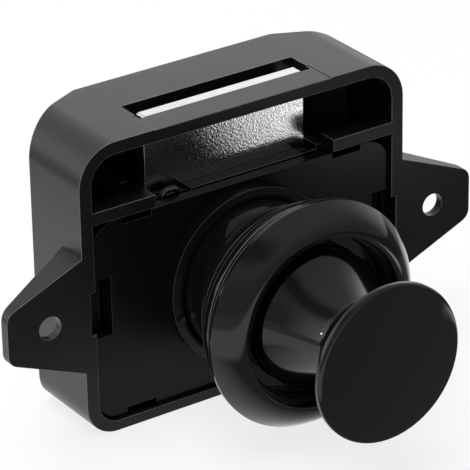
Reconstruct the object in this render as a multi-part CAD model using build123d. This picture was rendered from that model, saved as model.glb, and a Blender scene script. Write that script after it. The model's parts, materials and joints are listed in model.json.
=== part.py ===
from build123d import *
import math
import os

# Push button cabinet lock, at rest with the button out and the latch drawn in.
# X runs across the door, Y runs from the door into the cabinet and Z runs up.
# The origin lies on the button's axis, in the plane of the case rim that meets the door's back.

# Case: a shallow box, open towards the door, with its rear corners bevelled in plan
case_width = 52.5
window_high = 9.4
below_collar = 4.55
case_depth = 17.7
side_wall = 1.9
top_wall = 1.8
floor_wall = 1.5
back_wall = 2.0
top_corner = 5.8
bottom_corner = 4.7
bevel_across = 11.0
bevel_deep = 5.2
rear_edge_round = 0.6

# Case: slot for the latch, and the shallow track between the slot and the rim
slot_end_gap = 0.45
slot_front = 4.4
slot_rear = 9.0
track_drop = 0.12

# Case: shelves at both sides of the front window
shelf_end_gap = 0.2
shelf_cover_gap = 0.55
shelf_thick = 1.8
shelf_deep = 3.0

# Case: screw ears, open at the back with a rib along their edge
ear_centre = 1.25
ear_root_half = 8.5
ear_tip_half = 3.6
ear_long = 11.75
ear_tip_round = 1.9
ear_plate = 1.3
ear_rib = 1.3
ear_tip_deep = 1.5
ear_root_deep = 5.3
screw_place_share = 0.4468
screw_hole = 1.65

# Cover plate: closes the mechanism below the window and carries the centring collar
cover_face = 0.75
cover_thick = 1.7
cover_gap = 0.15
above_collar = 0.7
cover_corner = 3.75
collar_wall = 1.25
collar_bevel = 0.9
collar_front = 1.0
collar_nose = 1.4
side_notch_share = 0.655
side_notch_half = 4.35
rim_notch_deep = 0.75
rim_notch_half = 3.2
rim_notch_back = 2.3
end_notch_share = 0.433
end_notch_past_rail = 1.05
end_notch_deep = 0.85

# Cover plate: snap legs, and the ribs of the case that they hook behind
leg_thick = 1.1
leg_long = 4.4
leg_side_gap = 0.35
leg_rail_gap = 0.05
side_barb_out = 1.2
end_barb_out = 0.8
barb_long = 1.2
catch_front = 3.4
catch_thick = 1.6
catch_gap = 0.2

# Barrel: the tube that passes through the door
barrel_radius = 11.3
barrel_wall = 1.4
barrel_front = 14.5
barrel_hole_gap = 0.3
flange_wide = 1.1
flange_thick = 1.15
flange_gap = 0.05
thread_pitch = 1.5
thread_deep = 0.45
thread_start = 5.6
lock_pin_radius = 0.5
lock_pin_long = 2.4
lock_pin_proud = 0.25
lock_pin_angle = 194.0
pin_clear = 0.05

# Rosette: trim ring on a threaded sleeve
thread_clear = 0.1
sleeve_rear = 5.3
sleeve_wall = 0.5
sleeve_step_gap = 0.05
sleeve_front = 15.6
washer_rear = 6.85
washer_thick = 0.75
washer_wide = 0.75
neck_wall = 0.35
seat_rear = 10.2
seat_wide = 2.1
ring_groove = 0.5
ring_groove_wide = 0.45
ring_one_wide = 0.95
ring_two_step = 0.7
ring_two_wide = 1.1
rim_wide = 1.2
rim_rear = 14.5
rim_front = 15.1
crest_in = 3.3
crest_front = 18.5
lip_wide = 0.8
lip_front = 18.0
stop_wide = 0.35
stop_front = 16.4

# Button: cap, cone and stem
push_travel = 12.0
cap_lip_gap = 0.85
cap_rim_rear = 31.4
cap_rim_thick = 0.75
cap_edge_round = 0.3
cap_dome = 0.75
cap_flare_bulge = 1.25
neck_front = 24.7
neck_step = 3.1
cone_step = 0.2
cone_rear = 16.9
cone_waist = 0.7
skirt_gap = 0.3
skirt_front = 16.4
skirt_rear = 11.0
cone_wall = 1.4
cone_floor = 21.0
spigot_radius = 3.6
spigot_gap = 0.05
spigot_rear = 21.4
stem_share = 0.4545
stem_wall = 1.3
stem_rear = 3.4
stem_end_wall = 2.8
stem_seat_gap = 0.05
lug_centre = 2.2
lug_radius = 1.1
lug_share = 0.6667
stem_screw_radius = 1.25
stem_screw_head_gap = 0.8
stem_screw_head_thick = 1.5
stem_screw_long = 8.0
screw_slot_wide = 0.6
screw_slot_deep = 0.7
spring_washer_gap = 0.2
spring_washer_thick = 0.5

# Button spring, inside the stem
spring_post_gap = 0.45
spring_post_long = 3.0
button_coil_gap = 0.4
button_wire = 0.3
button_turns = 15
seat_gap = 0.1

# Latch and the slider that carries it
latch_travel = 7.5
latch_end_gap = 0.9
latch_front = 4.97
latch_thick = 1.75
latch_tip_drop = 0.4
latch_foot_drop = 4.8
latch_corner = 0.5
latch_pocket_gap = 0.12
slider_past_hook = 0.9
slider_front = 4.0
slider_rear = 9.6
slider_top_drop = 0.45
slider_floor_gap = 0.3
window_lug_gap = 0.15
window_top_drop = 5.9
window_wall_below = 3.2
ramp_stem_gap = 0.4
ramp_front = 1.3
ramp_rear = 15.2
ramp_thick = 3.0
ramp_clear = 0.05
ledge_pivot_gap = 1.1
ledge_end_gap = 3.0
ledge_above_cover = 0.15
ledge_thick = 1.0
ledge_reach = 2.8
rivet_in = 5.45
rivet_above_foot = 2.3
rivet_radius = 1.1
rivet_head = 1.9
rivet_head_thick = 0.7
rivet_clear = 0.05
rivet_recess = 0.15

# Guide rails of the case for the slider
rail_gap = 0.3
rail_thick = 1.2
rail_above_cover = 0.05
rail_hook = 2.0

# Latch springs, in pockets of the slider
latch_spring_deep = 6.8
latch_coil = 1.7
latch_wire = 0.22
latch_turns = 12
pocket_radius = 2.15
pocket_top = 2.0
floor_post = 1.15
floor_post_long = 3.5

# Track hook: a wire that holds the slider up, and its track in the back of the cover
hook_wire = 0.4
hook_plane = 3.3
hook_pivot_in = 5.3
hook_pivot_drop = 1.25
hook_pivot_long = 8.0
hook_pivot_clear = 0.08
hook_latch_clear = 0.5
hook_arch_inner_in = 4.1
hook_arch_outer_in = 2.1
hook_arch_rise = 1.9
hook_flange_gap = 1.0
hook_tip_low = 1.0
hook_tip_reach = 1.65
hook_bend = 0.9
hook_sweep = 1.2
hook_gap = 0.3
track_deep = 1.1
track_bulge = 1.5

# Leaf spring on the slider that presses the hook towards its track
leaf_thick = 0.2
leaf_half = 1.6
leaf_in = 1.1
leaf_top_drop = 2.4
leaf_bend_high_drop = 5.3
leaf_bend_low_drop = 7.3
leaf_bottom_drop = 10.9
leaf_recess = 0.3
leaf_hook_gap = 0.08
leaf_edge_gap = 0.15
leaf_stake = 0.5
leaf_stake_drop = 3.8
leaf_stake_proud = 0.1

# Margin by which a cutting body runs past the wall it cuts
overrun = 1.0

# Radii worked out from the barrel outwards, and from its bore inwards
barrel_bore = barrel_radius - barrel_wall
collar_radius = barrel_radius + barrel_hole_gap + collar_wall
collar_edge = collar_radius - collar_bevel
flange_radius = barrel_radius + flange_wide
sleeve_radius = barrel_radius + thread_clear + sleeve_wall
washer_radius = sleeve_radius + washer_wide
neck_radius = sleeve_radius + sleeve_step_gap + neck_wall
seat_radius = neck_radius + seat_wide
ring_two_radius = seat_radius + ring_two_step
rim_radius = ring_two_radius + rim_wide
crest_radius = rim_radius - crest_in
lip_radius = barrel_radius + lip_wide
stop_radius = barrel_radius + stop_wide
cap_radius = lip_radius - cap_lip_gap
skirt_radius = barrel_bore - skirt_gap
cone_half = skirt_radius - cone_step
neck_half = cone_half - neck_step
stem_radius = barrel_bore * stem_share
stem_bore = stem_radius - stem_wall
stem_screw_head = stem_bore - stem_screw_head_gap
spring_washer_radius = stem_bore - spring_washer_gap
button_coil = stem_bore - button_coil_gap - button_wire
spring_post = button_coil - button_wire - spring_post_gap
lug_reach = barrel_bore * lug_share

# Heights worked out from the collar
cover_top = collar_radius + above_collar
case_bottom = collar_radius + below_collar
shelf_low = cover_top + shelf_cover_gap
shelf_top = shelf_low + shelf_thick
case_top = shelf_top + window_high
rail_top = cover_top + rail_above_cover
slider_top = cover_top - slider_top_drop
ledge_top = cover_top + ledge_above_cover
ledge_low = ledge_top - ledge_thick
latch_tip = case_top - latch_tip_drop
latch_foot = slider_top - latch_foot_drop
rivet_height = latch_foot + rivet_above_foot
hook_pivot_height = cover_top - hook_pivot_drop
hook_arch_top = hook_pivot_height + hook_arch_rise
leaf_top = hook_pivot_height - leaf_top_drop
leaf_bend_high = hook_pivot_height - leaf_bend_high_drop
leaf_bend_low = hook_pivot_height - leaf_bend_low_drop
leaf_bottom = hook_pivot_height - leaf_bottom_drop
leaf_stake_height = hook_pivot_height - leaf_stake_drop

# Widths worked out from the hook beside the barrel's flange, then from the case
case_half = case_width / 2
inner_half = case_half - side_wall
hook_tip_across = flange_radius + hook_flange_gap
hook_pivot_across = hook_tip_across - hook_pivot_in
hook_arch_inner = hook_tip_across - hook_arch_inner_in
hook_arch_outer = hook_tip_across - hook_arch_outer_in
leaf_across = hook_tip_across - leaf_in
slider_half = hook_tip_across + slider_past_hook
slot_half = slider_half - slot_end_gap
latch_half = slot_half - latch_end_gap
rivet_across = latch_half - rivet_in
shelf_end = slider_half + shelf_end_gap
rail_inner = slider_half + rail_gap
rail_outer = rail_inner + rail_thick
ledge_left = hook_pivot_across - ledge_pivot_gap
ledge_right = slider_half - ledge_end_gap
window_half = lug_reach + window_lug_gap
latch_spring_across = (window_half + slider_half) / 2
ramp_inner = stem_radius + ramp_stem_gap
beside_rail = inner_half - rail_outer
side_notch_inner = rail_outer + beside_rail * side_notch_share
end_notch_inner = rail_outer - end_notch_past_rail
end_notch_outer = rail_outer + beside_rail * end_notch_share
ear_reach = case_half + ear_long
screw_half = case_half + ear_long * screw_place_share

# Other places worked out from the sizes above
inner_top = case_top - top_wall
inner_floor = case_bottom - floor_wall
inner_back = case_depth - back_wall
slider_bottom = inner_floor - slider_floor_gap
window_top = slider_top - window_top_drop
window_bottom = slider_bottom - window_wall_below
cover_back = cover_face + cover_thick
cover_half = inner_half - cover_gap
cover_low = inner_floor - cover_gap
flange_front = cover_back + flange_gap
flange_back = flange_front + flange_thick
washer_front = washer_rear + washer_thick
stem_front = cone_floor - stem_seat_gap
stem_bore_end = stem_front - stem_end_wall
screw_head_back = stem_bore_end - stem_screw_head_thick
spring_washer_back = screw_head_back - seat_gap - spring_washer_thick
ramp_slope = latch_travel / push_travel
ramp_drop = (lug_radius + ramp_clear) * math.hypot(1, ramp_slope)
latch_back = latch_front + latch_thick


def front(depth):
    # plane parallel to the door, with local x to the right and local y up
    return Plane(origin=(0, depth, 0), x_dir=(1, 0, 0), z_dir=(0, -1, 0))


def slab(outline, near, far):
    # outline drawn as seen from the door, made solid between two depths
    return extrude(front(near) * outline, amount=near - far)


def block(low_x, high_x, low_y, high_y, low_z, high_z):
    middle = ((low_x + high_x) / 2, (low_y + high_y) / 2, (low_z + high_z) / 2)
    return Pos(*middle) * Box(high_x - low_x, high_y - low_y, high_z - low_z)


def rod(radius, near, far, across=0, up=0):
    # round bar along the button's axis between two depths
    return Pos(across, 0, up) * slab(Circle(radius), near, far)


def turned(*lines):
    # profile of radius and depth, turned about the button's axis
    return revolve(make_face(Curve() + list(lines)), Axis.Y)


def turned_points(points):
    return turned(Polyline(*points, close=True))


def tube(outer, inner, near, far):
    return rod(outer, near, far) - rod(inner, near - overrun, far + overrun)


def rounded_box(half, low, high, low_round, high_round):
    # rectangle as seen from the door, with one rounding above and another below
    shape = Pos(0, (low + high) / 2) * Rectangle(half + half, high - low)
    shape = fillet(shape.vertices().sort_by(Axis.Y)[-2:], high_round)
    return fillet(shape.vertices().sort_by(Axis.Y)[:2], low_round)


def plan_prism(half, rear, low, high):
    # plan view of the case, with both rear corners bevelled
    corners = [
        (-half, -overrun),
        (half, -overrun),
        (half, rear - bevel_deep),
        (half - bevel_across, rear),
        (bevel_across - half, rear),
        (-half, rear - bevel_deep),
    ]
    return Pos(0, 0, low) * extrude(make_face(Polyline(*corners, close=True)), amount=high - low)


def coil(radius, wire, length, turns):
    # open coil spring that stands on the ground plane
    span = length - wire - wire
    path = Helix(pitch=span / turns, height=span, radius=radius)
    profile = Plane(origin=path @ 0, z_dir=path % 0) * Circle(wire)
    return Pos(0, 0, wire) * sweep(profile, path=path, is_frenet=True)


def ear(side):
    # screw ear, wedge-shaped in plan, hollow behind its plate
    root = case_half - side_wall / 2
    run = ear_reach - case_half
    slope = (ear_root_half - ear_tip_half) / run
    root_half = ear_root_half + slope * (case_half - root)
    outline = make_face(Polyline(
        (root, ear_centre - root_half),
        (ear_reach, ear_centre - ear_tip_half),
        (ear_reach, ear_centre + ear_tip_half),
        (root, ear_centre + root_half),
        close=True,
    ))
    outline = fillet(outline.vertices().sort_by(Axis.X)[-2:], ear_tip_round)
    wedge = make_face(Polyline(
        (root, 0),
        (ear_reach, 0),
        (ear_reach, ear_tip_deep),
        (root, ear_root_deep),
        close=True,
    ))
    low = ear_centre - root_half
    high = ear_centre + root_half
    solid = slab(outline, 0, ear_root_deep) & (Pos(0, 0, low) * extrude(wedge, amount=high - low))
    hollow = slab(offset(outline, -ear_rib), ear_plate, ear_root_deep + overrun)
    hollow -= block(0, case_half, 0, case_depth, low - overrun, high + overrun)
    solid -= hollow
    solid -= rod(screw_hole, -overrun, ear_root_deep + overrun, screw_half, ear_centre)
    if side < 0:
        solid = mirror(solid, Plane.YZ)
    return solid


def case_shell():
    outer = slab(rounded_box(case_half, -case_bottom, case_top, bottom_corner, top_corner), 0, case_depth)
    outer &= plan_prism(case_half, case_depth, -case_bottom, case_top)
    rear_edges = outer.edges().group_by(Axis.Y)[-1]
    outer = fillet(rear_edges, rear_edge_round)
    inner_outline = rounded_box(
        inner_half,
        -inner_floor,
        inner_top,
        bottom_corner - floor_wall,
        top_corner - side_wall,
    )
    inner = slab(inner_outline, -overrun, inner_back)
    inner &= plan_prism(inner_half, inner_back, -inner_floor, inner_top)
    return outer - inner, inner


def case_shelves():
    shelves = Part()
    for side in (-1, 1):
        ends = sorted((side * shelf_end, side * (inner_half + side_wall / 2)))
        shelves += block(*ends, 0, shelf_deep, shelf_low, shelf_top)
    return shelves


def case_catches():
    # ribs that the cover's snap legs hook behind, at the sides and at the floor
    ribs = Part()
    far = catch_front + catch_thick
    for side in (-1, 1):
        ends = sorted((side * (side_notch_inner + leg_side_gap), side * (inner_half + side_wall / 2)))
        ribs += block(*ends, catch_front, far, ear_centre - side_notch_half, ear_centre + side_notch_half)
        ends = sorted((side * end_notch_inner, side * end_notch_outer))
        top = end_notch_deep - cover_low - leg_side_gap
        ribs += block(*ends, catch_front, far, -inner_floor - floor_wall / 2, top)
    return ribs


def case_rails():
    # upright rails beside the slider, with a return that holds it from behind
    rails = Part()
    near = slider_front + rail_gap
    low = -inner_floor - floor_wall / 2
    for side in (-1, 1):
        ends = sorted((side * rail_inner, side * rail_outer))
        rails += block(*ends, near, inner_back + back_wall / 2, low, rail_top)
        ends = sorted((side * (rail_inner - rail_hook), side * rail_outer))
        rails += block(*ends, slider_rear + rail_gap, inner_back + back_wall / 2, low, rail_top)
    return rails


def case_posts():
    # post for the button spring on the back wall, and two for the latch springs on the floor
    posts = rod(spring_post, inner_back - spring_post_long, inner_back + back_wall / 2)
    for side in (-1, 1):
        post = extrude(Circle(floor_post), amount=floor_post_long + floor_wall / 2)
        posts += Pos(side * latch_spring_across, latch_spring_deep, -inner_floor - floor_wall / 2) * post
    return posts


def housing():
    shell, hollow = case_shell()
    fittings = case_shelves() + case_catches() + case_rails() + case_posts()
    body = shell + (fittings & (shell + hollow))
    body += ear(-1) + ear(1)
    body -= block(-slot_half, slot_half, slot_front, slot_rear, inner_top - overrun, case_top + overrun)
    track_floor = case_top - track_drop
    body -= block(-slider_half, slider_half, -overrun, slot_front + overrun, track_floor, case_top + overrun)
    for side in (-1, 1):
        ends = sorted((side * (inner_half - overrun), side * (inner_half + rim_notch_deep)))
        low = ear_centre - rim_notch_half
        high = ear_centre + rim_notch_half
        body -= block(*ends, -overrun, rim_notch_back, low, high)
    return body


def side_legs(side):
    # legs beside the side notches, with a barb that hooks outward
    outer = side * side_notch_inner
    inner = side * (side_notch_inner - leg_thick)
    tip = side * (side_notch_inner + side_barb_out)
    half = rim_notch_half
    far = cover_back + leg_long
    leg = block(*sorted((inner, outer)), cover_back, far, ear_centre - half, ear_centre + half)
    near = catch_front + catch_thick + catch_gap
    barb = make_face(Polyline((outer, near), (tip, near), (outer, near + barb_long), close=True))
    barb = extrude(barb, amount=half + half)
    return leg + Pos(0, 0, ear_centre - half) * barb


def end_legs(side, up):
    # legs beside the top and bottom notches, with a barb that hooks up or down
    ends = sorted((side * (rail_outer + leg_rail_gap), side * (end_notch_outer - leg_side_gap)))
    edge = cover_top - end_notch_deep if up > 0 else end_notch_deep - cover_low
    far = cover_back + leg_long
    inner = edge - up * leg_thick
    leg = block(*ends, cover_back, far, *sorted((edge, inner)))
    near = shelf_deep + catch_gap if up > 0 else catch_front + catch_thick + catch_gap
    reach = shelf_low + leg_side_gap if up > 0 else edge - end_barb_out
    barb = Plane.YZ * make_face(Polyline((near, edge), (near, reach), (near + barb_long, edge), close=True))
    barb = extrude(barb, amount=ends[1] - ends[0])
    return leg + Pos(ends[0], 0, 0) * barb


def hook_tip(angle, lift):
    # where the hook's tip stands after the slider has risen and the hook has swung
    across = hook_pivot_across - hook_tip_across
    down = -hook_tip_low - hook_pivot_height
    swung_x = across * math.cos(angle) + down * math.sin(angle)
    swung_z = down * math.cos(angle) - across * math.sin(angle)
    return swung_x - hook_pivot_across, swung_z + hook_pivot_height + lift


def hook_track():
    # loop that the hook's tip runs round, cut into the back of the cover
    arm = hook_pivot_height + hook_tip_low
    start = hook_tip(0, 0)
    end = hook_tip(hook_sweep / arm, latch_travel)
    bulge = ((start[0] + end[0]) / 2 - track_bulge, (start[1] + end[1]) / 2)
    half = hook_wire + hook_gap
    loop = Sketch()
    for head, tail in ((start, end), (start, bulge), (bulge, end)):
        loop += slot_between(head, tail, half)
    return slab(loop, cover_back - track_deep, cover_back + overrun)


def slot_between(head, tail, half):
    # round-ended channel between two points, as seen from the door
    length = math.dist(head, tail)
    angle = math.degrees(math.atan2(tail[1] - head[1], tail[0] - head[0]))
    middle = ((head[0] + tail[0]) / 2, (head[1] + tail[1]) / 2)
    return Pos(*middle) * Rot(0, 0, angle) * SlotCenterToCenter(length, half + half)


def lock_pin_place():
    radius = (collar_radius + barrel_radius + barrel_hole_gap) / 2
    angle = math.radians(lock_pin_angle)
    return radius * math.cos(angle), radius * math.sin(angle)


def cover_plate():
    outline = rounded_box(cover_half, -cover_low, cover_top, cover_corner, cover_corner)
    plate = slab(outline, cover_face, cover_back)
    collar = turned_points([
        (0, cover_face),
        (collar_radius, cover_face),
        (collar_radius, -collar_front),
        (collar_edge, -collar_nose),
        (0, -collar_nose),
    ])
    plate += collar
    plate -= rod(barrel_radius + barrel_hole_gap, -collar_nose - overrun, cover_back + overrun)
    low = ear_centre - side_notch_half
    high = ear_centre + side_notch_half
    for side in (-1, 1):
        ends = sorted((side * side_notch_inner, side * (cover_half + overrun)))
        plate -= block(*ends, 0, cover_back + overrun, low, high)
        ends = sorted((side * end_notch_inner, side * end_notch_outer))
        plate -= block(*ends, 0, cover_back + overrun, cover_top - end_notch_deep, cover_top + overrun)
        plate -= block(*ends, 0, cover_back + overrun, -cover_low - overrun, end_notch_deep - cover_low)
    for side in (-1, 1):
        plate += side_legs(side)
        for up in (-1, 1):
            plate += end_legs(side, up)
    plate -= hook_track()
    across, up = lock_pin_place()
    plate -= rod(lock_pin_radius + pin_clear, -collar_nose - overrun, lock_pin_long, across, up)
    return plate


def threaded_barrel():
    body = tube(barrel_radius, barrel_bore, -barrel_front, flange_back)
    body += tube(flange_radius, barrel_bore, flange_front, flange_back)
    groove = thread_start
    while groove + thread_pitch < barrel_front:
        root = barrel_radius - thread_deep
        middle = groove + thread_pitch / 2
        body -= turned_points([
            (barrel_radius + overrun, -middle + thread_deep + overrun),
            (root, -middle),
            (barrel_radius + overrun, -middle - thread_deep - overrun),
        ])
        groove += thread_pitch
    return body


def barrel_lock_pin():
    across, up = lock_pin_place()
    near = -collar_nose - lock_pin_proud
    return rod(lock_pin_radius, near, near + lock_pin_long, across, up)


def rosette_sleeve():
    bore = barrel_radius + thread_clear
    body = tube(sleeve_radius, bore, -sleeve_front, -sleeve_rear)
    return body


def rosette_washer():
    return tube(washer_radius, sleeve_radius + sleeve_step_gap, -washer_front, -washer_rear)


def rosette():
    # stepped back that seats on the door, flaring to a rolled ring with a round lip
    bore = sleeve_radius + sleeve_step_gap
    ring_one_front = seat_rear + ring_one_wide
    groove_one_front = ring_one_front + ring_groove_wide
    ring_two_front = groove_one_front + ring_two_wide
    back = Polyline(
        (bore, -washer_front),
        (neck_radius, -washer_front),
        (neck_radius, -seat_rear),
        (seat_radius, -seat_rear),
        (seat_radius, -ring_one_front),
        (seat_radius - ring_groove, -ring_one_front),
        (seat_radius - ring_groove, -groove_one_front),
        (ring_two_radius, -groove_one_front),
        (ring_two_radius, -ring_two_front),
        (ring_two_radius - ring_groove, -ring_two_front),
        (ring_two_radius - ring_groove, -ring_two_front - ring_groove_wide),
        (rim_radius, -rim_rear),
        (rim_radius, -rim_front),
    )
    roll_start = (crest_radius - rim_radius, rim_front - crest_front)
    roll_end = (lip_radius - crest_radius, crest_front - rim_front)
    roll = Spline(
        (rim_radius, -rim_front),
        (crest_radius, -crest_front),
        (lip_radius, -lip_front),
        tangents=(roll_start, roll_end),
    )
    hole = Polyline(
        (lip_radius, -lip_front),
        (lip_radius, -stop_front),
        (stop_radius, -stop_front),
        (stop_radius, -sleeve_front - sleeve_step_gap),
        (bore, -sleeve_front - sleeve_step_gap),
        (bore, -washer_front),
    )
    return turned(back, roll, hole)


def button_cap():
    face_rear = cap_rim_rear + cap_rim_thick
    flare = ThreePointArc(
        (neck_half, -neck_front),
        ((neck_half + cap_radius) / 2 - cap_flare_bulge, -(neck_front + cap_rim_rear) / 2 - cap_flare_bulge),
        (cap_radius, -cap_rim_rear),
    )
    rim = Line((cap_radius, -cap_rim_rear), (cap_radius, -face_rear))
    dome_edge = cap_radius - cap_edge_round
    edge = Line((cap_radius, -face_rear), (dome_edge, -face_rear - cap_edge_round))
    ball = (dome_edge ** 2 + cap_dome ** 2) / (cap_dome + cap_dome)
    half_turn = math.asin(dome_edge / ball) / 2
    dome_front = face_rear + cap_edge_round + cap_dome
    dome = ThreePointArc(
        (dome_edge, -face_rear - cap_edge_round),
        (ball * math.sin(half_turn), ball - dome_front - ball * math.cos(half_turn)),
        (0, -dome_front),
    )
    inside = Polyline(
        (0, -dome_front),
        (0, -spigot_rear),
        (spigot_radius, -spigot_rear),
        (spigot_radius, -neck_front),
        (neck_half, -neck_front),
    )
    body = turned(flare, rim, edge, dome, inside)
    pilot = stem_screw_radius + spigot_gap
    tip = screw_head_back + stem_screw_head_thick + stem_screw_long + spigot_gap
    return body - rod(pilot, -tip, overrun - spigot_rear)


def button_cone():
    # skirt that slides in the barrel, bell-shaped flank, and the wall that takes cap and stem
    middle = (neck_front + cone_rear) / 2
    flank = ThreePointArc(
        (cone_half, -cone_rear),
        ((neck_half + cone_half) / 2 - cone_waist, -middle),
        (neck_half, -neck_front),
    )
    outside = Polyline(
        (skirt_radius - cone_wall, -skirt_rear),
        (skirt_radius, -skirt_rear),
        (skirt_radius, -skirt_front),
        (cone_half, -cone_rear),
    )
    inner_neck = neck_half - cone_wall
    inside = Polyline(
        (neck_half, -neck_front),
        (spigot_radius + spigot_gap, -neck_front),
        (spigot_radius + spigot_gap, -cone_floor),
        (inner_neck, -cone_floor),
        (skirt_radius - cone_wall - cone_waist, -cone_rear),
        (skirt_radius - cone_wall, -skirt_rear),
    )
    return turned(outside, flank, inside)


def button_stem():
    # tube with a closed front end, and a round lug at each side
    body = rod(stem_radius, -stem_front, stem_rear)
    body -= rod(stem_bore, -stem_bore_end, stem_rear + overrun)
    lug_root = stem_bore + stem_wall / 2
    for side in (-1, 1):
        lug = Rot(0, 90, 0) * Cylinder(lug_radius, lug_reach - lug_root)
        body += Pos(side * (lug_reach + lug_root) / 2, lug_centre, 0) * lug
    return body - rod(stem_screw_radius + spigot_gap, -stem_front - overrun, overrun - stem_bore_end)


def stem_screw():
    head_front = -stem_bore_end
    head = rod(stem_screw_head, head_front, head_front + stem_screw_head_thick)
    shank = rod(stem_screw_radius, head_front - stem_screw_long, head_front)
    slot = block(
        -stem_screw_head,
        stem_screw_head,
        head_front + stem_screw_head_thick - screw_slot_deep,
        head_front + stem_screw_head_thick + overrun,
        -screw_slot_wide / 2,
        screw_slot_wide / 2,
    )
    return head + shank - slot


def spring_washer():
    near = -spring_washer_back - spring_washer_thick
    return rod(spring_washer_radius, near, -spring_washer_back)


def button_spring():
    length = inner_back + spring_washer_back - seat_gap - seat_gap
    spring = Rot(90, 0, 0) * coil(button_coil, button_wire, length, button_turns)
    return Pos(0, inner_back - seat_gap, 0) * spring


def latch_bolt():
    outline = rounded_box(latch_half, latch_foot, latch_tip, latch_corner, latch_corner)
    plate = slab(outline, latch_front, latch_back)
    for side in (-1, 1):
        plate -= rod(
            rivet_radius + rivet_clear,
            latch_front - overrun,
            latch_back + overrun,
            side * rivet_across,
            rivet_height,
        )
    pivot_hole = hook_wire + hook_latch_clear
    plate -= rod(pivot_hole, latch_front - overrun, latch_back + overrun, -hook_pivot_across, hook_pivot_height)
    return plate


def ramp(side):
    # sloping rail that the stem's lug runs on
    def top(depth):
        return -ramp_drop - ramp_slope * (depth - lug_centre)
    outline = make_face(Polyline(
        (ramp_front, top(ramp_front)),
        (ramp_rear, top(ramp_rear)),
        (ramp_rear, -window_bottom),
        (slider_front, -window_bottom),
        (slider_front, top(slider_front) - ramp_thick),
        (ramp_front, top(ramp_front) - ramp_thick),
        close=True,
    ))
    plate = extrude(Plane.YZ * outline, amount=window_half - ramp_inner)
    place = ramp_inner if side > 0 else -window_half
    return Pos(place, 0, 0) * plate


def latch_slider():
    body = block(-slider_half, slider_half, slider_front, slider_rear, -slider_bottom, slider_top)
    body -= block(
        -window_half,
        window_half,
        slider_front - overrun,
        slider_rear + overrun,
        -window_bottom,
        window_top,
    )
    body += ramp(-1) + ramp(1)
    body += block(
        -ledge_left,
        ledge_right,
        ledge_reach,
        latch_front - latch_pocket_gap,
        ledge_low,
        ledge_top,
    )
    body -= block(
        -latch_half - latch_pocket_gap,
        latch_half + latch_pocket_gap,
        latch_front - latch_pocket_gap,
        latch_back + latch_pocket_gap,
        latch_foot - latch_pocket_gap,
        ledge_top + overrun,
    )
    for side in (-1, 1):
        pocket = extrude(Circle(pocket_radius), amount=slider_bottom + overrun + pocket_top)
        place = (side * latch_spring_across, latch_spring_deep, -slider_bottom - overrun)
        body -= Pos(*place) * pocket
        across = side * rivet_across
        body -= rod(rivet_radius + rivet_clear, slider_front - overrun, slider_rear + overrun, across, rivet_height)
    hole = hook_wire + hook_pivot_clear
    body -= rod(hole, slider_front - overrun, hook_pivot_long + hook_gap, -hook_pivot_across, hook_pivot_height)
    body -= block(
        -leaf_across - leaf_half - leaf_edge_gap,
        leaf_half - leaf_across + leaf_edge_gap,
        slider_front - overrun,
        slider_front + leaf_recess,
        leaf_bottom - leaf_edge_gap,
        leaf_top + leaf_edge_gap,
    )
    floor = slider_front + leaf_recess
    body += rod(leaf_stake, floor - leaf_thick - leaf_stake_proud, floor, -leaf_across, leaf_stake_height)
    return body


def latch_rivets():
    rivets = Part()
    for side in (-1, 1):
        across = side * rivet_across
        shank = rod(rivet_radius, slider_front + rivet_recess, slider_rear, across, rivet_height)
        rivets += shank + rod(rivet_head, slider_rear, slider_rear + rivet_head_thick, across, rivet_height)
    return rivets


def latch_spring(side):
    low = -inner_floor + seat_gap
    spring = coil(latch_coil, latch_wire, pocket_top - seat_gap - low, latch_turns)
    return Pos(side * latch_spring_across, latch_spring_deep, low) * spring


def track_hook():
    # wire with a pivot leg in the slider, an arch over its edge and a tip in the cover's track
    path = FilletPolyline(
        (-hook_pivot_across, hook_pivot_long, hook_pivot_height),
        (-hook_pivot_across, hook_plane, hook_pivot_height),
        (-hook_arch_inner, hook_plane, hook_arch_top),
        (-hook_arch_outer, hook_plane, hook_arch_top),
        (-hook_tip_across, hook_plane, -hook_tip_low),
        (-hook_tip_across, hook_tip_reach, -hook_tip_low),
        radius=hook_bend,
    )
    profile = Plane(origin=path @ 0, z_dir=path % 0) * Circle(hook_wire)
    return sweep(profile, path=path)


def hook_spring():
    # leaf staked to the slider at its upper end, with its lower end bowed towards the hook
    base = slider_front + leaf_recess
    tip = hook_plane + hook_wire + leaf_hook_gap + leaf_thick
    profile = make_face(Polyline(
        (base, leaf_top),
        (base, leaf_bend_high),
        (tip, leaf_bend_low),
        (tip, leaf_bottom),
        (tip - leaf_thick, leaf_bottom),
        (tip - leaf_thick, leaf_bend_low),
        (base - leaf_thick, leaf_bend_high),
        (base - leaf_thick, leaf_top),
        close=True,
    ))
    leaf = Pos(-leaf_across - leaf_half, 0, 0) * extrude(Plane.YZ * profile, amount=leaf_half + leaf_half)
    hole = leaf_stake + pin_clear
    return leaf - rod(hole, base - overrun, base + overrun, -leaf_across, leaf_stake_height)


parts = {
    "housing": housing,
    "cover_plate": cover_plate,
    "threaded_barrel": threaded_barrel,
    "barrel_lock_pin": barrel_lock_pin,
    "rosette": rosette,
    "rosette_sleeve": rosette_sleeve,
    "rosette_washer": rosette_washer,
    "button_cap": button_cap,
    "button_cone": button_cone,
    "button_stem": button_stem,
    "stem_screw": stem_screw,
    "spring_washer": spring_washer,
    "button_spring": button_spring,
    "latch_bolt": latch_bolt,
    "latch_slider": latch_slider,
    "latch_rivets": latch_rivets,
    "latch_spring_left": lambda: latch_spring(-1),
    "latch_spring_right": lambda: latch_spring(1),
    "track_hook": track_hook,
    "hook_spring": hook_spring,
}

os.makedirs("parts", exist_ok=True)
for name, make in parts.items():
    export_step(make(), f"parts/{name}.step")
    print(name)
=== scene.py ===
import json
import math

import bmesh
import bpy
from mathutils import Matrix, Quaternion, Vector


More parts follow.
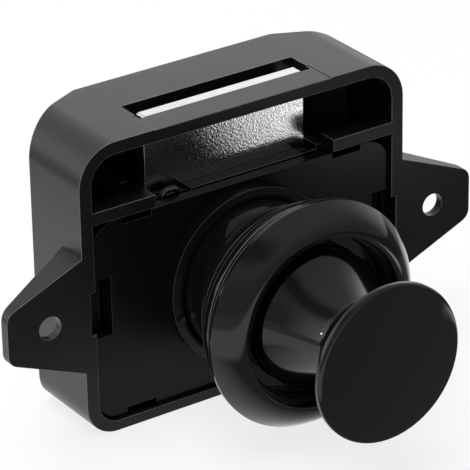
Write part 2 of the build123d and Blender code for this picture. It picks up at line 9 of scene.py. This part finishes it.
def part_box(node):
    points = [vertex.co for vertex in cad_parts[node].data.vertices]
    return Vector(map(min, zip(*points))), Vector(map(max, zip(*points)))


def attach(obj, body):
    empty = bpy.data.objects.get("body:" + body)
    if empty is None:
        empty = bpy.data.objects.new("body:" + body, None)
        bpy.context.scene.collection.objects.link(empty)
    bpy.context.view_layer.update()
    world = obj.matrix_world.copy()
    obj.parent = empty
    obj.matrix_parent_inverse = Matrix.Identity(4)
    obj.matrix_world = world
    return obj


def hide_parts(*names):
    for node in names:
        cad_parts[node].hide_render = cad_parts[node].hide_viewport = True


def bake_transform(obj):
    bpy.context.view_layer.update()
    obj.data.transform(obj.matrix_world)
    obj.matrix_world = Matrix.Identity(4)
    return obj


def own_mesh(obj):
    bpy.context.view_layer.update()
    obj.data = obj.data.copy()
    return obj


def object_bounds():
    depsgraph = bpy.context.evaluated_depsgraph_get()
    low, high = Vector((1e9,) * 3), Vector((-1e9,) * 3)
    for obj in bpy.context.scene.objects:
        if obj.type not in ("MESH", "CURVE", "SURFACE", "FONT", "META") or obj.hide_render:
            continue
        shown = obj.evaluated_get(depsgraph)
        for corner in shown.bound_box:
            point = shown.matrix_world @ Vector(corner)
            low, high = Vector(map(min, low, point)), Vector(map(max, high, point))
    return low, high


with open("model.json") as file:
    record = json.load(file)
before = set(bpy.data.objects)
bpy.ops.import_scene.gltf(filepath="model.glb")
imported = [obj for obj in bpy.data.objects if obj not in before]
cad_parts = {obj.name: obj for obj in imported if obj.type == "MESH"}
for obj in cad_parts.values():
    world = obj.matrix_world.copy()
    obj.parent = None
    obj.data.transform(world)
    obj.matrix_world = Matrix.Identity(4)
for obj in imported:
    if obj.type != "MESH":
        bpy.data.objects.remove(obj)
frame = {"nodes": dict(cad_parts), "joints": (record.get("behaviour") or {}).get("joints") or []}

cadLow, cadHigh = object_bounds()
mm = 0.001
nodes = frame["nodes"]
scene = bpy.context.scene
print("frame loaded:", len(nodes), "nodes")


# camera, first, because the rest is judged through it
cameraView = {
    "azimuth": -33.897,
    "elevation": 26.338,
    "roll": -1.0563,
    "distance": 470.26 * mm,
    "aim": (-1.979 * mm, 0.0, 6.317 * mm),
    "lens": 266.855,
    "sensor": 36.0,
    "clipShares": (0.1, 20),
}


def placeCamera(view):
    turn = math.radians(view["azimuth"])
    lift = math.radians(view["elevation"])
    back = Vector((math.sin(turn) * math.cos(lift), -math.cos(turn) * math.cos(lift), math.sin(lift)))
    data = bpy.data.cameras.new("photoCamera")
    data.lens = view["lens"]
    data.sensor_width = view["sensor"]
    data.clip_start, data.clip_end = [view["distance"] * share for share in view["clipShares"]]
    camera = bpy.data.objects.new("photoCamera", data)
    scene.collection.objects.link(camera)
    camera.rotation_mode = "QUATERNION"
    level = (-back).to_track_quat("-Z", "Y")
    camera.rotation_quaternion = level @ Quaternion((0, 0, 1), math.radians(view["roll"]))
    camera.location = Vector(view["aim"]) + back * view["distance"]
    scene.camera = camera


placeCamera(cameraView)
scene.view_settings.view_transform = "Standard"
print("camera placed")


class Link:
    # a socket in a node tree; sums on it add Math nodes
    def __init__(self, tree, socket):
        self.tree = tree
        self.socket = socket

    def maths(self, operation, *values, clamp=False):
        return self.tree.add("Math", {"operation": operation, "use_clamp": clamp}, dict(enumerate(values)))

    def __add__(self, other):
        return self.maths("ADD", self, other)

    def __sub__(self, other):
        return self.maths("SUBTRACT", self, other)

    def __rsub__(self, other):
        return self.maths("SUBTRACT", other, self)

    def __mul__(self, other):
        return self.maths("MULTIPLY", self, other)

    __radd__ = __add__
    __rmul__ = __mul__

    def ramp(self, start, end):
        # 0 at the start, 1 at the end, held beyond both
        slope = 1 / (end - start)
        return self.maths("MULTIPLY_ADD", self, slope, -start * slope, clamp=True)


class NodeTree:
    # node tree of a material or of the world
    def __init__(self, owner):
        owner.use_nodes = True
        self.owner = owner
        self.nodes = owner.node_tree.nodes
        self.links = owner.node_tree.links

    def feed(self, place, value):
        # a link is joined to the socket, anything else is set on it
        if isinstance(value, Link):
            self.links.new(value.socket, place)
        else:
            place.default_value = value

    def add(self, kind, settings=None, sockets=None, out=0):
        node = self.nodes.new("ShaderNode" + kind)
        for name, value in (settings or {}).items():
            setattr(node, name, value)
        for name, value in (sockets or {}).items():
            self.feed(node.inputs[name], value)
        return Link(self, node.outputs[out]) if len(node.outputs) else node

    def blend(self, share, one, two):
        # colour between two, by a share that may be a link
        return self.add("Mix", {"data_type": "RGBA"}, {0: share, 6: one, 7: two}, out=2)

    def split(self, vector):
        # the three numbers of a vector
        first = self.add("SeparateXYZ", sockets={0: vector})
        return [Link(self, socket) for socket in first.socket.node.outputs]


def grey(level):
    return (level, level, level, 1.0)


def freshMaterial(name, constants):
    # material whose Principled shader has these fixed values
    material = bpy.data.materials.new(name)
    tree = NodeTree(material)
    shader = tree.nodes["Principled BSDF"]
    for socket, value in constants.items():
        shader.inputs[socket].default_value = value
    return tree, shader


# light all round: bright behind and to the left, dim in front
studio = {
    "behind": 1.35,
    "front": 0.30,
    "frontEdge": -0.2,
    "backEdge": 0.5,
    "overhead": 0.5,
    "overheadFrom": 0.35,
    "overheadTo": 0.8,
    "cardLow": (0.6, 0.76),
    "cardHigh": (0.97, 0.87),
    "cardLeft": (-0.05, -0.35),
    "cardLevel": 0.12,
}


def makeWorld(values):
    world = bpy.data.worlds.new("studioWorld")
    scene.world = world
    tree = NodeTree(world)
    background = tree.nodes["Background"]
    direction = tree.add("TexCoord")
    across, deep, up = tree.split(direction)
    backward = deep.ramp(values["frontEdge"], values["backEdge"])
    upward = up.ramp(values["overheadFrom"], values["overheadTo"])
    level = backward * (values["behind"] - values["front"]) + values["front"]
    level = level * (1 - upward) + upward * values["overhead"]
    card = up.ramp(*values["cardLow"]) * up.ramp(*values["cardHigh"]) * across.ramp(*values["cardLeft"])
    level = level * (1 - card) + card * values["cardLevel"]
    camera = tree.add("LightPath", out="Is Camera Ray")
    tree.feed(background.inputs["Strength"], camera + (1 - camera) * level)
    tree.feed(background.inputs["Color"], grey(1.0))


makeWorld(studio)

# floor: white to the camera, with a soft shadow; its mirror image is dark in front
floorSheet = {
    "size": 4.0,
    "level": cadLow.z - 0.05 * mm,
    "cloth": 0.8,
    "cameraShare": 0.8,
    "dark": 0.22,
    "darkBack": (-14 * mm, -28 * mm),
    "backSlope": 0.3,
    "darkLeft": (-56 * mm, -48 * mm),
    "leftSlope": 0.6,
    "patch": (62 * mm, -60 * mm, cadLow.z),
    "patchReach": (17 * mm, 7 * mm),
    "patchLevel": 3.0,
    "fadeReach": (92 * mm, 120 * mm),
    "fadeLevel": 0.45,
}


def makeFloor(values):
    half = values["size"] / 2
    mesh = bpy.data.meshes.new("floorSheet")
    corners = [(-half, -half, values["level"]), (half, -half, values["level"]),
               (half, half, values["level"]), (-half, half, values["level"])]
    mesh.from_pydata(corners, [], [(0, 1, 2, 3)])
    floor = bpy.data.objects.new("floorSheet", mesh)
    scene.collection.objects.link(floor)
    material = bpy.data.materials.new("paleFloor")
    tree = NodeTree(material)
    tree.nodes.clear()
    place = tree.add("TexCoord", out=3)
    across, deep = tree.split(place)[:2]
    back = (deep - across.maths("MAXIMUM", across, 0.0) * values["backSlope"]).ramp(*values["darkBack"])
    left = (across + deep * values["leftSlope"]).ramp(*values["darkLeft"])
    level = 1 - back * left * (1 - values["dark"])
    behind = tree.add("CombineXYZ", sockets={0: across, 1: deep.maths("MAXIMUM", deep, 0.0)})
    centre = tree.add("VectorMath", {"operation": "LENGTH"}, {0: behind}, out=1)
    level = level * (1 - centre.ramp(*values["fadeReach"]) * (1 - values["fadeLevel"]))
    away = tree.add("VectorMath", {"operation": "DISTANCE"}, {0: place, 1: values["patch"]}, out=1)
    patch = away.ramp(*values["patchReach"])
    level = level * (1 - patch) + patch * values["patchLevel"]
    # cloth takes light and shadow, glow gives the camera's white and the mirror image
    camera = tree.add("LightPath", out="Is Camera Ray")
    glossy = tree.add("LightPath", out="Is Glossy Ray")
    cloth = tree.add("BsdfDiffuse", sockets={"Color": grey(values["cloth"])})
    glow = tree.add("Emission", sockets={"Color": grey(1.0), "Strength": camera + (1 - camera) * level})
    both = tree.add("MixShader", sockets={0: camera * values["cameraShare"] + glossy, 1: cloth, 2: glow})
    tree.add("OutputMaterial", sockets={"Surface": both})
    mesh.materials.append(material)


makeFloor(floorSheet)
print("world and floor made")


lamps = {
    "keyTop": {"at": (-0.10, 0.05, 0.45), "size": (0.35, 0.35), "power": 2.2, "mirrored": False},
    "spark": {"at": (-0.251, 0.143, 0.080), "size": (0.01, 0.01), "power": 0.015, "mirrored": True},
}


def addLamp(name, values, aim=(0.0, 0.0, 0.0)):
    data = bpy.data.lights.new(name, "AREA")
    data.shape = "RECTANGLE"
    data.size, data.size_y = values["size"]
    data.energy = values["power"]
    lamp = bpy.data.objects.new(name, data)
    scene.collection.objects.link(lamp)
    lamp.location = values["at"]
    lamp.rotation_mode = "QUATERNION"
    lamp.rotation_quaternion = (Vector(aim) - Vector(values["at"])).to_track_quat("-Z", "Y")
    lamp.visible_glossy = values["mirrored"]


for lampName, lampValues in lamps.items():
    addLamp(lampName, lampValues)
print("lamps placed")


noiseDetail = {"cloud": 3.0, "grain": 2.0}


def mottled(name, constants, values):
    # clouds in colour and roughness, and a fine grain in the normal
    tree, shader = freshMaterial(name, constants)
    place = tree.add("TexCoord", out=3)
    cloud, grain = [
        tree.add("TexNoise", sockets={"Vector": place, "Scale": values[kind + "Scale"], "Detail": fine})
        for kind, fine in noiseDetail.items()
    ]
    tree.feed(shader.inputs["Base Color"], tree.blend(cloud, grey(values["dark"]), grey(values["light"])))
    tree.feed(shader.inputs["Roughness"], cloud * values["roughSpread"] + values["rough"])
    grainSockets = {"Height": grain, "Strength": values["bump"], "Distance": values["grainDepth"]}
    tree.feed(shader.inputs["Normal"], tree.add("Bump", sockets=grainSockets))
    return tree.owner


plastics = {
    "mouldedSatinCase": {
        "cloudScale": 160.0, "grainScale": 4200.0, "dark": 0.006, "light": 0.009,
        "rough": 0.28, "roughSpread": 0.1, "bump": 0.2, "grainDepth": 0.02 * mm,
    },
    "mouldedSatinCover": {
        "shine": 0.13, "cloudScale": 120.0, "grainScale": 5200.0, "dark": 0.004, "light": 0.006,
        "rough": 0.22, "roughSpread": 0.08, "bump": 0.15, "grainDepth": 0.02 * mm,
    },
    # the case look with less shine, for the faces turned to the door: painted shade
    "mouldedFrontPaintedShade": {
        "shine": 0.2, "cloudScale": 160.0, "grainScale": 4200.0, "dark": 0.006, "light": 0.009,
        "rough": 0.28, "roughSpread": 0.1, "bump": 0.2, "grainDepth": 0.02 * mm,
    },
    # lighter colour for the softened edges of moulded pieces: a painted highlight
    "mouldedEdgeHighlight": {
        "cloudScale": 300.0, "grainScale": 4200.0, "dark": 0.08, "light": 0.20,
        "rough": 0.3, "roughSpread": 0.15, "bump": 0.2, "grainDepth": 0.02 * mm,
    },
    # lighter colour for marked edges of turned gloss pieces: a painted highlight
    "glossEdgeHighlight": {
        "cloudScale": 300.0, "grainScale": 2000.0, "dark": 0.05, "light": 0.14,
        "rough": 0.25, "roughSpread": 0.15, "bump": 0.1, "grainDepth": 0.02 * mm,
    },
    # lighter colour for the slider's softened edges: a painted highlight
    "sliderEdgeHighlight": {
        "cloudScale": 200.0, "grainScale": 4200.0, "dark": 0.16, "light": 0.3,
        "rough": 0.3, "roughSpread": 0.1, "bump": 0.2, "grainDepth": 0.02 * mm,
    },
    "glossRosettePlastic": {
        "cloudScale": 90.0, "grainScale": 900.0, "dark": 0.003, "light": 0.005,
        "rough": 0.06, "roughSpread": 0.04, "bump": 0.03, "grainDepth": 0.02 * mm,
    },
    "glossButtonPlastic": {
        "cloudScale": 90.0, "grainScale": 900.0, "dark": 0.003, "light": 0.005,
        "rough": 0.05, "roughSpread": 0.03, "bump": 0.02, "grainDepth": 0.02 * mm,
    },
}
metals = {
    "platedLatchSteel": {
        "cloudScale": 200.0, "grainScale": 3000.0, "dark": 0.62, "light": 0.78,
        "rough": 0.16, "roughSpread": 0.06, "bump": 0.8, "grainDepth": 0.05 * mm,
    },
    "drawnWireSteel": {
        "cloudScale": 400.0, "grainScale": 6000.0, "dark": 0.10, "light": 0.2,
        "rough": 0.25, "roughSpread": 0.1, "bump": 0.2, "grainDepth": 0.01 * mm,
    },
    "zincPlatedSteel": {
        "cloudScale": 300.0, "grainScale": 4000.0, "dark": 0.5, "light": 0.62,
        "rough": 0.25, "roughSpread": 0.12, "bump": 0.25, "grainDepth": 0.01 * mm,
    },
}
looks = {name: mottled(name, {"Specular IOR Level": values.get("shine", 0.5)}, values)
         for name, values in plastics.items()}
looks.update({name: mottled(name, {"Metallic": 1.0}, values) for name, values in metals.items()})
print("materials made:", len(looks))


# pieces turned about the button's axis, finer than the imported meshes
turning = {"steps": 192, "edge": 0.12 * mm, "edgeSteps": 3, "sideShare": 0.45, "sharpAngle": 32, "onAxis": 1e-7}


def arcPoints(start, middle, end, count):
    # points of the circle through three (radius, depth) places
    (ax, ay), (bx, by), (cx, cy) = start, middle, end
    a, b, c = [x * x + y * y for x, y in (start, middle, end)]
    spread = 2 * (ax * (by - cy) + bx * (cy - ay) + cx * (ay - by))
    ux = (a * (by - cy) + b * (cy - ay) + c * (ay - by)) / spread
    uy = (a * (cx - bx) + b * (ax - cx) + c * (bx - ax)) / spread
    radius = math.hypot(ax - ux, ay - uy)
    first = math.atan2(ay - uy, ax - ux)
    last = math.atan2(cy - uy, cx - ux)
    through = math.atan2(by - uy, bx - ux)
    turn = (last - first) % (2 * math.pi)
    if (through - first) % (2 * math.pi) > turn:
        turn -= 2 * math.pi
    return [(ux + radius * math.cos(first + turn * k / count), uy + radius * math.sin(first + turn * k / count))
            for k in range(count + 1)]


def hermite(start, startWay, end, endWay, count):
    # smooth run between two places with a way at each end
    points = []
    for k in range(count + 1):
        t = k / count
        a, b = 2 * t ** 3 - 3 * t ** 2 + 1, t ** 3 - 2 * t ** 2 + t
        c, d = 3 * t ** 2 - 2 * t ** 3, t ** 3 - t ** 2
        points.append(tuple(a * start[i] + b * startWay[i] + c * end[i] + d * endWay[i] for i in (0, 1)))
    return points


def softCorners(points, sharp, size, steps, paintedHighlight=False):
    # each marked corner of a profile gets a small rounding, in a lighter colour where asked: a painted
    # highlight
    smooth = []
    last = len(points) - 1
    for k, point in enumerate(points):
        if k in (0, last) or k not in sharp:
            smooth.append(point)
            continue
        here = Vector(point[:2])
        before = Vector(points[k - 1][:2]) - here
        after = Vector(points[k + 1][:2]) - here
        cut = min(size, before.length * turning["sideShare"], after.length * turning["sideShare"])
        one = here + before.normalized() * cut
        two = here + after.normalized() * cut
        for j in range(steps + 1):
            t = j / steps
            spot = one * (1 - t) ** 2 + here * (2 * t * (1 - t)) + two * t ** 2
            smooth.append((spot.x, spot.y, paintedHighlight and j < steps))
    return smooth


def turned(name, profile, material, body, replaced):
    # profile of (radius, depth) in metres, swept right round; a third value marks an edge painted in a lighter
    # colour, a painted highlight
    steps = turning["steps"]
    mesh = bpy.data.meshes.new(name)
    builder = bmesh.new()
    rings = []
    for radius, depth in [point[:2] for point in profile]:
        if radius < turning["onAxis"]:
            rings.append([builder.verts.new((0.0, depth, 0.0))])
            continue
        rings.append([builder.verts.new((radius * math.cos(2 * math.pi * k / steps), depth,
                                         radius * math.sin(2 * math.pi * k / steps))) for k in range(steps)])
    for point, one, two in zip(profile, rings, rings[1:] + rings[:1]):
        if len(one) == 1 and len(two) == 1:
            continue
        for k in range(steps):
            nxt = (k + 1) % steps
            if len(one) == 1:
                face = builder.faces.new((one[0], two[nxt], two[k]))
            elif len(two) == 1:
                face = builder.faces.new((one[k], one[nxt], two[0]))
            else:
                face = builder.faces.new((one[k], one[nxt], two[nxt], two[k]))
            face.material_index = int(len(point) > 2 and point[2])
    bmesh.ops.recalc_face_normals(builder, faces=builder.faces)
    builder.to_mesh(mesh)
    builder.free()
    mesh.materials.append(material)
    # marked faces take the second look, a lighter colour: painted highlight
    mesh.materials.append(looks["glossEdgeHighlight"])
    piece = bpy.data.objects.new(name, mesh)
    scene.collection.objects.link(piece)
    mesh.shade_smooth()
    mesh.set_sharp_from_angle(angle=math.radians(turning["sharpAngle"]))
    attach(piece, body)
    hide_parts(replaced)
    return piece


rosetteShape = {
    "bore": 11.95 * mm, "back": 7.6 * mm, "neck": 12.3 * mm, "seatRear": 10.2 * mm, "seat": 14.4 * mm,
    "ringWide": 0.95 * mm, "groove": 0.5 * mm, "grooveWide": 0.45 * mm, "second": 15.1 * mm,
    "secondWide": 1.1 * mm, "rim": 16.3 * mm, "rimRear": 14.5 * mm, "rimFront": 15.1 * mm,
    "crest": 12.5 * mm, "crestFront": 18.5 * mm, "lip": 12.0 * mm, "lipFront": 18.0 * mm, "stop": 11.65 * mm,
    "stopFront": 16.4 * mm, "inner": 15.65 * mm, "rimWay": (0.9, 1.6), "crestWay": 1.1, "lipWay": (0.55, 2.2),
    "outerSteps": 18, "innerSteps": 12,
}


def makeRosette(v):
    oneFront = v["seatRear"] + v["ringWide"]
    grooveFront = oneFront + v["grooveWide"]
    twoFront = grooveFront + v["secondWide"]
    back = [
        (v["bore"], -v["back"]), (v["neck"], -v["back"]), (v["neck"], -v["seatRear"]),
        (v["seat"], -v["seatRear"]), (v["seat"], -oneFront), (v["seat"] - v["groove"], -oneFront),
        (v["seat"] - v["groove"], -grooveFront), (v["second"], -grooveFront), (v["second"], -twoFront),
        (v["second"] - v["groove"], -twoFront), (v["second"] - v["groove"], -twoFront - v["grooveWide"]),
        (v["rim"], -v["rimRear"]), (v["rim"], -v["rimFront"]),
    ]
    # the rosette's back corners get the lighter colour, a painted highlight
    back = softCorners(back, range(1, len(back) - 1), turning["edge"], turning["edgeSteps"], paintedHighlight=True)
    rim, crest, lip = [(v[key], -v[key + "Front"]) for key in ("rim", "crest", "lip")]
    # ways are shares of the run that they start or end
    fall, slope = crest[0] - rim[0], crest[1] - rim[1]
    rise, drop = lip[0] - crest[0], lip[1] - crest[1]
    outer = hermite(rim, (fall * v["rimWay"][0], slope * v["rimWay"][1]),
                    crest, (fall * v["crestWay"], 0.0), v["outerSteps"])
    inner = hermite(crest, (rise * v["crestWay"], 0.0),
                    lip, (rise * v["lipWay"][0], drop * v["lipWay"][1]), v["innerSteps"])
    hole = [(v["lip"], -v["stopFront"]), (v["stop"], -v["stopFront"]),
            (v["stop"], -v["inner"]), (v["bore"], -v["inner"])]
    profile = back + outer[1:] + inner[1:] + hole
    return turned("rosetteRing", profile, looks["glossRosettePlastic"], "rosette", "rosette")


sleeveShape = {"outer": 11.9 * mm, "bore": 11.4 * mm, "front": 15.6 * mm, "rear": 5.3 * mm}
washerShape = {"outer": 12.65 * mm, "bore": 11.95 * mm, "front": 7.6 * mm, "rear": 6.85 * mm}


def makeTube(name, v, material, body, replaced):
    corners = [(v["bore"], -v["rear"]), (v["outer"], -v["rear"]),
               (v["outer"], -v["front"]), (v["bore"], -v["front"])]
    start = (v["bore"], -(v["rear"] + v["front"]) / 2)
    ring = softCorners([start] + corners + [start], range(1, 5), turning["edge"], turning["edgeSteps"])
    return turned(name, ring[:-1], material, body, replaced)


capShape = {
    "neck": 6.3 * mm, "neckFront": 24.7 * mm, "rim": 11.25 * mm, "rimRear": 31.4 * mm, "rimFront": 32.15 * mm,
    "edge": 0.3 * mm, "dome": 0.75 * mm, "bulge": 1.25 * mm, "spigot": 3.6 * mm, "spigotRear": 21.4 * mm,
    "flareSteps": 28, "crownSteps": 20, "edgeSteps": 4,
}


def makeCap(v):
    middle = ((v["neck"] + v["rim"]) / 2 - v["bulge"], -(v["neckFront"] + v["rimRear"]) / 2 - v["bulge"])
    flare = arcPoints((v["neck"], -v["neckFront"]), middle, (v["rim"], -v["rimRear"]), v["flareSteps"])
    faceEdge = v["rim"] - v["edge"]
    faceRear = v["rimFront"] + v["edge"]
    ball = (faceEdge ** 2 + v["dome"] ** 2) / (2 * v["dome"])
    tilts = [math.asin(faceEdge / ball) * (1 - k / v["crownSteps"]) for k in range(v["crownSteps"] + 1)]
    crown = [(ball * math.sin(tilt), ball - faceRear - v["dome"] - ball * math.cos(tilt)) for tilt in tilts]
    crown[-1] = (0.0, crown[-1][1])
    rim = softCorners([flare[-2], flare[-1], (v["rim"], -v["rimFront"]), crown[0], crown[1]],
                      (1, 2, 3), v["edge"], v["edgeSteps"])
    inside = [(0.0, -v["spigotRear"]), (v["spigot"], -v["spigotRear"]), (v["spigot"], -v["neckFront"])]
    profile = flare[:-2] + rim[:-1] + crown[1:] + inside
    return turned("knobCap", profile, looks["glossButtonPlastic"], "button", "button_cap")


coneShape = {
    "foot": 9.8 * mm, "footFront": 17.3 * mm, "neck": 6.3 * mm, "neckFront": 24.7 * mm, "waist": 0.6 * mm,
    "skirt": 9.6 * mm, "skirtFront": 16.5 * mm, "skirtRear": 11.0 * mm, "wall": 1.4 * mm, "floor": 21.0 * mm,
    "spigot": 3.65 * mm, "flankSteps": 30,
}


def makeCone(v):
    middle = ((v["neck"] + v["foot"]) / 2 - v["waist"], -(v["neckFront"] + v["footFront"]) / 2)
    flank = arcPoints((v["foot"], -v["footFront"]), middle, (v["neck"], -v["neckFront"]), v["flankSteps"])
    outside = [(v["skirt"] - v["wall"], -v["skirtRear"]), (v["skirt"], -v["skirtRear"]),
               (v["skirt"], -v["skirtFront"]), (v["foot"], -v["skirtFront"]), flank[0], flank[1]]
    outside = softCorners(outside, (1, 3, 4), turning["edge"], turning["edgeSteps"])
    inside = [(v["spigot"], -v["neckFront"]), (v["spigot"], -v["floor"]), (v["neck"] - v["wall"], -v["floor"]),
              (v["skirt"] - v["wall"] - v["waist"], -v["footFront"])]
    profile = outside[:-1] + flank[1:] + inside
    return turned("knobCone", profile, looks["glossButtonPlastic"], "button", "button_cone")


makeRosette(rosetteShape)
makeTube("rosetteSleeve", sleeveShape, looks["mouldedSatinCover"], "rosette", "rosette_sleeve")
makeTube("rosetteWasher", washerShape, looks["glossRosettePlastic"], "rosette", "rosette_washer")
makeCap(capShape)
makeCone(coneShape)
print("turned pieces made")


# moulded and stamped pieces: imported shape with its edges softened, in the looks of face, edge and front; the
# edge look is a lighter colour, a painted highlight on the softened edges, and the front look is painted shade
# on the faces turned to the door
softEdges = {
    "housing": ("mouldedCase", "lock_body", ("mouldedSatinCase", "mouldedEdgeHighlight", "mouldedFrontPaintedShade"), 0.16 * mm),
    "cover_plate": ("coverPanel", "lock_body", ("mouldedSatinCover", "mouldedEdgeHighlight"), 0.10 * mm),
    "threaded_barrel": ("doorBarrel", "lock_body", ("glossRosettePlastic", "mouldedEdgeHighlight"), 0.08 * mm),
    "latch_bolt": ("latchPlate", "latch", ("platedLatchSteel", "platedLatchSteel"), 0.12 * mm),
    "latch_slider": ("latchSlider", "latch", ("mouldedSatinCover", "sliderEdgeHighlight"), 0.22 * mm),
}
softening = {
    "weld": 0.002 * mm, "flatAngle": 0.4, "cornerAngle": 32, "frontFrom": 0.98, "sharpAngle": 20, "segments": 2,
}


def softened(nodeName, name, body, lookNames, width, v=softening):
    mesh = nodes[nodeName].data.copy()
    mesh.name = name
    mesh.materials.clear()
    builder = bmesh.new()
    builder.from_mesh(mesh)
    bmesh.ops.remove_doubles(builder, verts=builder.verts, dist=v["weld"])
    bmesh.ops.dissolve_limit(builder, angle_limit=math.radians(v["flatAngle"]), verts=builder.verts,
                             edges=builder.edges, delimit={"NORMAL"})
    weight = builder.edges.layers.float.new("bevel_weight_edge")
    for edge in builder.edges:
        if len(edge.link_faces) == 2 and edge.calc_face_angle_signed() > math.radians(v["cornerAngle"]):
            edge[weight] = 1.0
    if len(lookNames) > 2:
        # faces turned to the door take the case look with less shine, painted shade that makes them darker than
        # the sides
        for face in builder.faces:
            face.material_index = 2 if face.normal.y < -v["frontFrom"] else 0
    builder.to_mesh(mesh)
    builder.free()
    for lookName in lookNames:
        mesh.materials.append(looks[lookName])
    for layer in list(mesh.uv_layers):
        mesh.uv_layers.remove(layer)
    if mesh.has_custom_normals:
        mesh.attributes.remove(mesh.attributes["custom_normal"])
    piece = bpy.data.objects.new(name, mesh)
    scene.collection.objects.link(piece)
    mesh.shade_smooth()
    mesh.set_sharp_from_angle(angle=math.radians(v["sharpAngle"]))
    bevel = piece.modifiers.new("softEdge", "BEVEL")
    bevel.width = width
    bevel.segments = v["segments"]
    bevel.limit_method = "WEIGHT"
    # the bevel faces take the second look, a lighter colour: painted highlight along the edges
    bevel.material = 1
    bevel.use_clamp_overlap = True
    bevel.harden_normals = True
    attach(piece, body)
    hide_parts(nodeName)
    return piece


for nodeName, values in softEdges.items():
    softened(nodeName, *values)
print("softened pieces made")


# springs: copies of the imported coils; the button's is attached to the lock body, the latch's two stay where
# they were imported
coils = {
    "button_spring": ("buttonCoil", "button"),
    "latch_spring_left": ("latchCoilLeft", "latch"),
    "latch_spring_right": ("latchCoilRight", "latch"),
}


def makeCoil(nodeName, name, body):
    mesh = nodes[nodeName].data.copy()
    mesh.name = name
    mesh.materials.clear()
    mesh.materials.append(looks["drawnWireSteel"])
    piece = bpy.data.objects.new(name, mesh)
    scene.collection.objects.link(piece)
    low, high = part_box(nodeName)
    if body == "button":
        joint = next(entry for entry in frame["joints"] if entry["name"] == "button_push")
        long = high[1] - low[1]
        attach(piece, "lock_body")
        (long - joint["range_m"][1]) / long
        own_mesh(piece)
    else:
        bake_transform(piece)
    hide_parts(nodeName)


for nodeName, values in coils.items():
    makeCoil(nodeName, *values)
print("springs made")


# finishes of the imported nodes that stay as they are
nodeFinish = {
    "barrel_lock_pin": looks["drawnWireSteel"],
    "button_stem": looks["mouldedSatinCover"],
    "stem_screw": looks["zincPlatedSteel"],
    "spring_washer": looks["zincPlatedSteel"],
    "latch_rivets": looks["zincPlatedSteel"],
    "track_hook": looks["drawnWireSteel"],
    "hook_spring": looks["zincPlatedSteel"],
}

for nodeName, material in nodeFinish.items():
    mesh = nodes[nodeName].data
    mesh.materials.clear()
    mesh.materials.append(material)
print("packed nodes dressed")
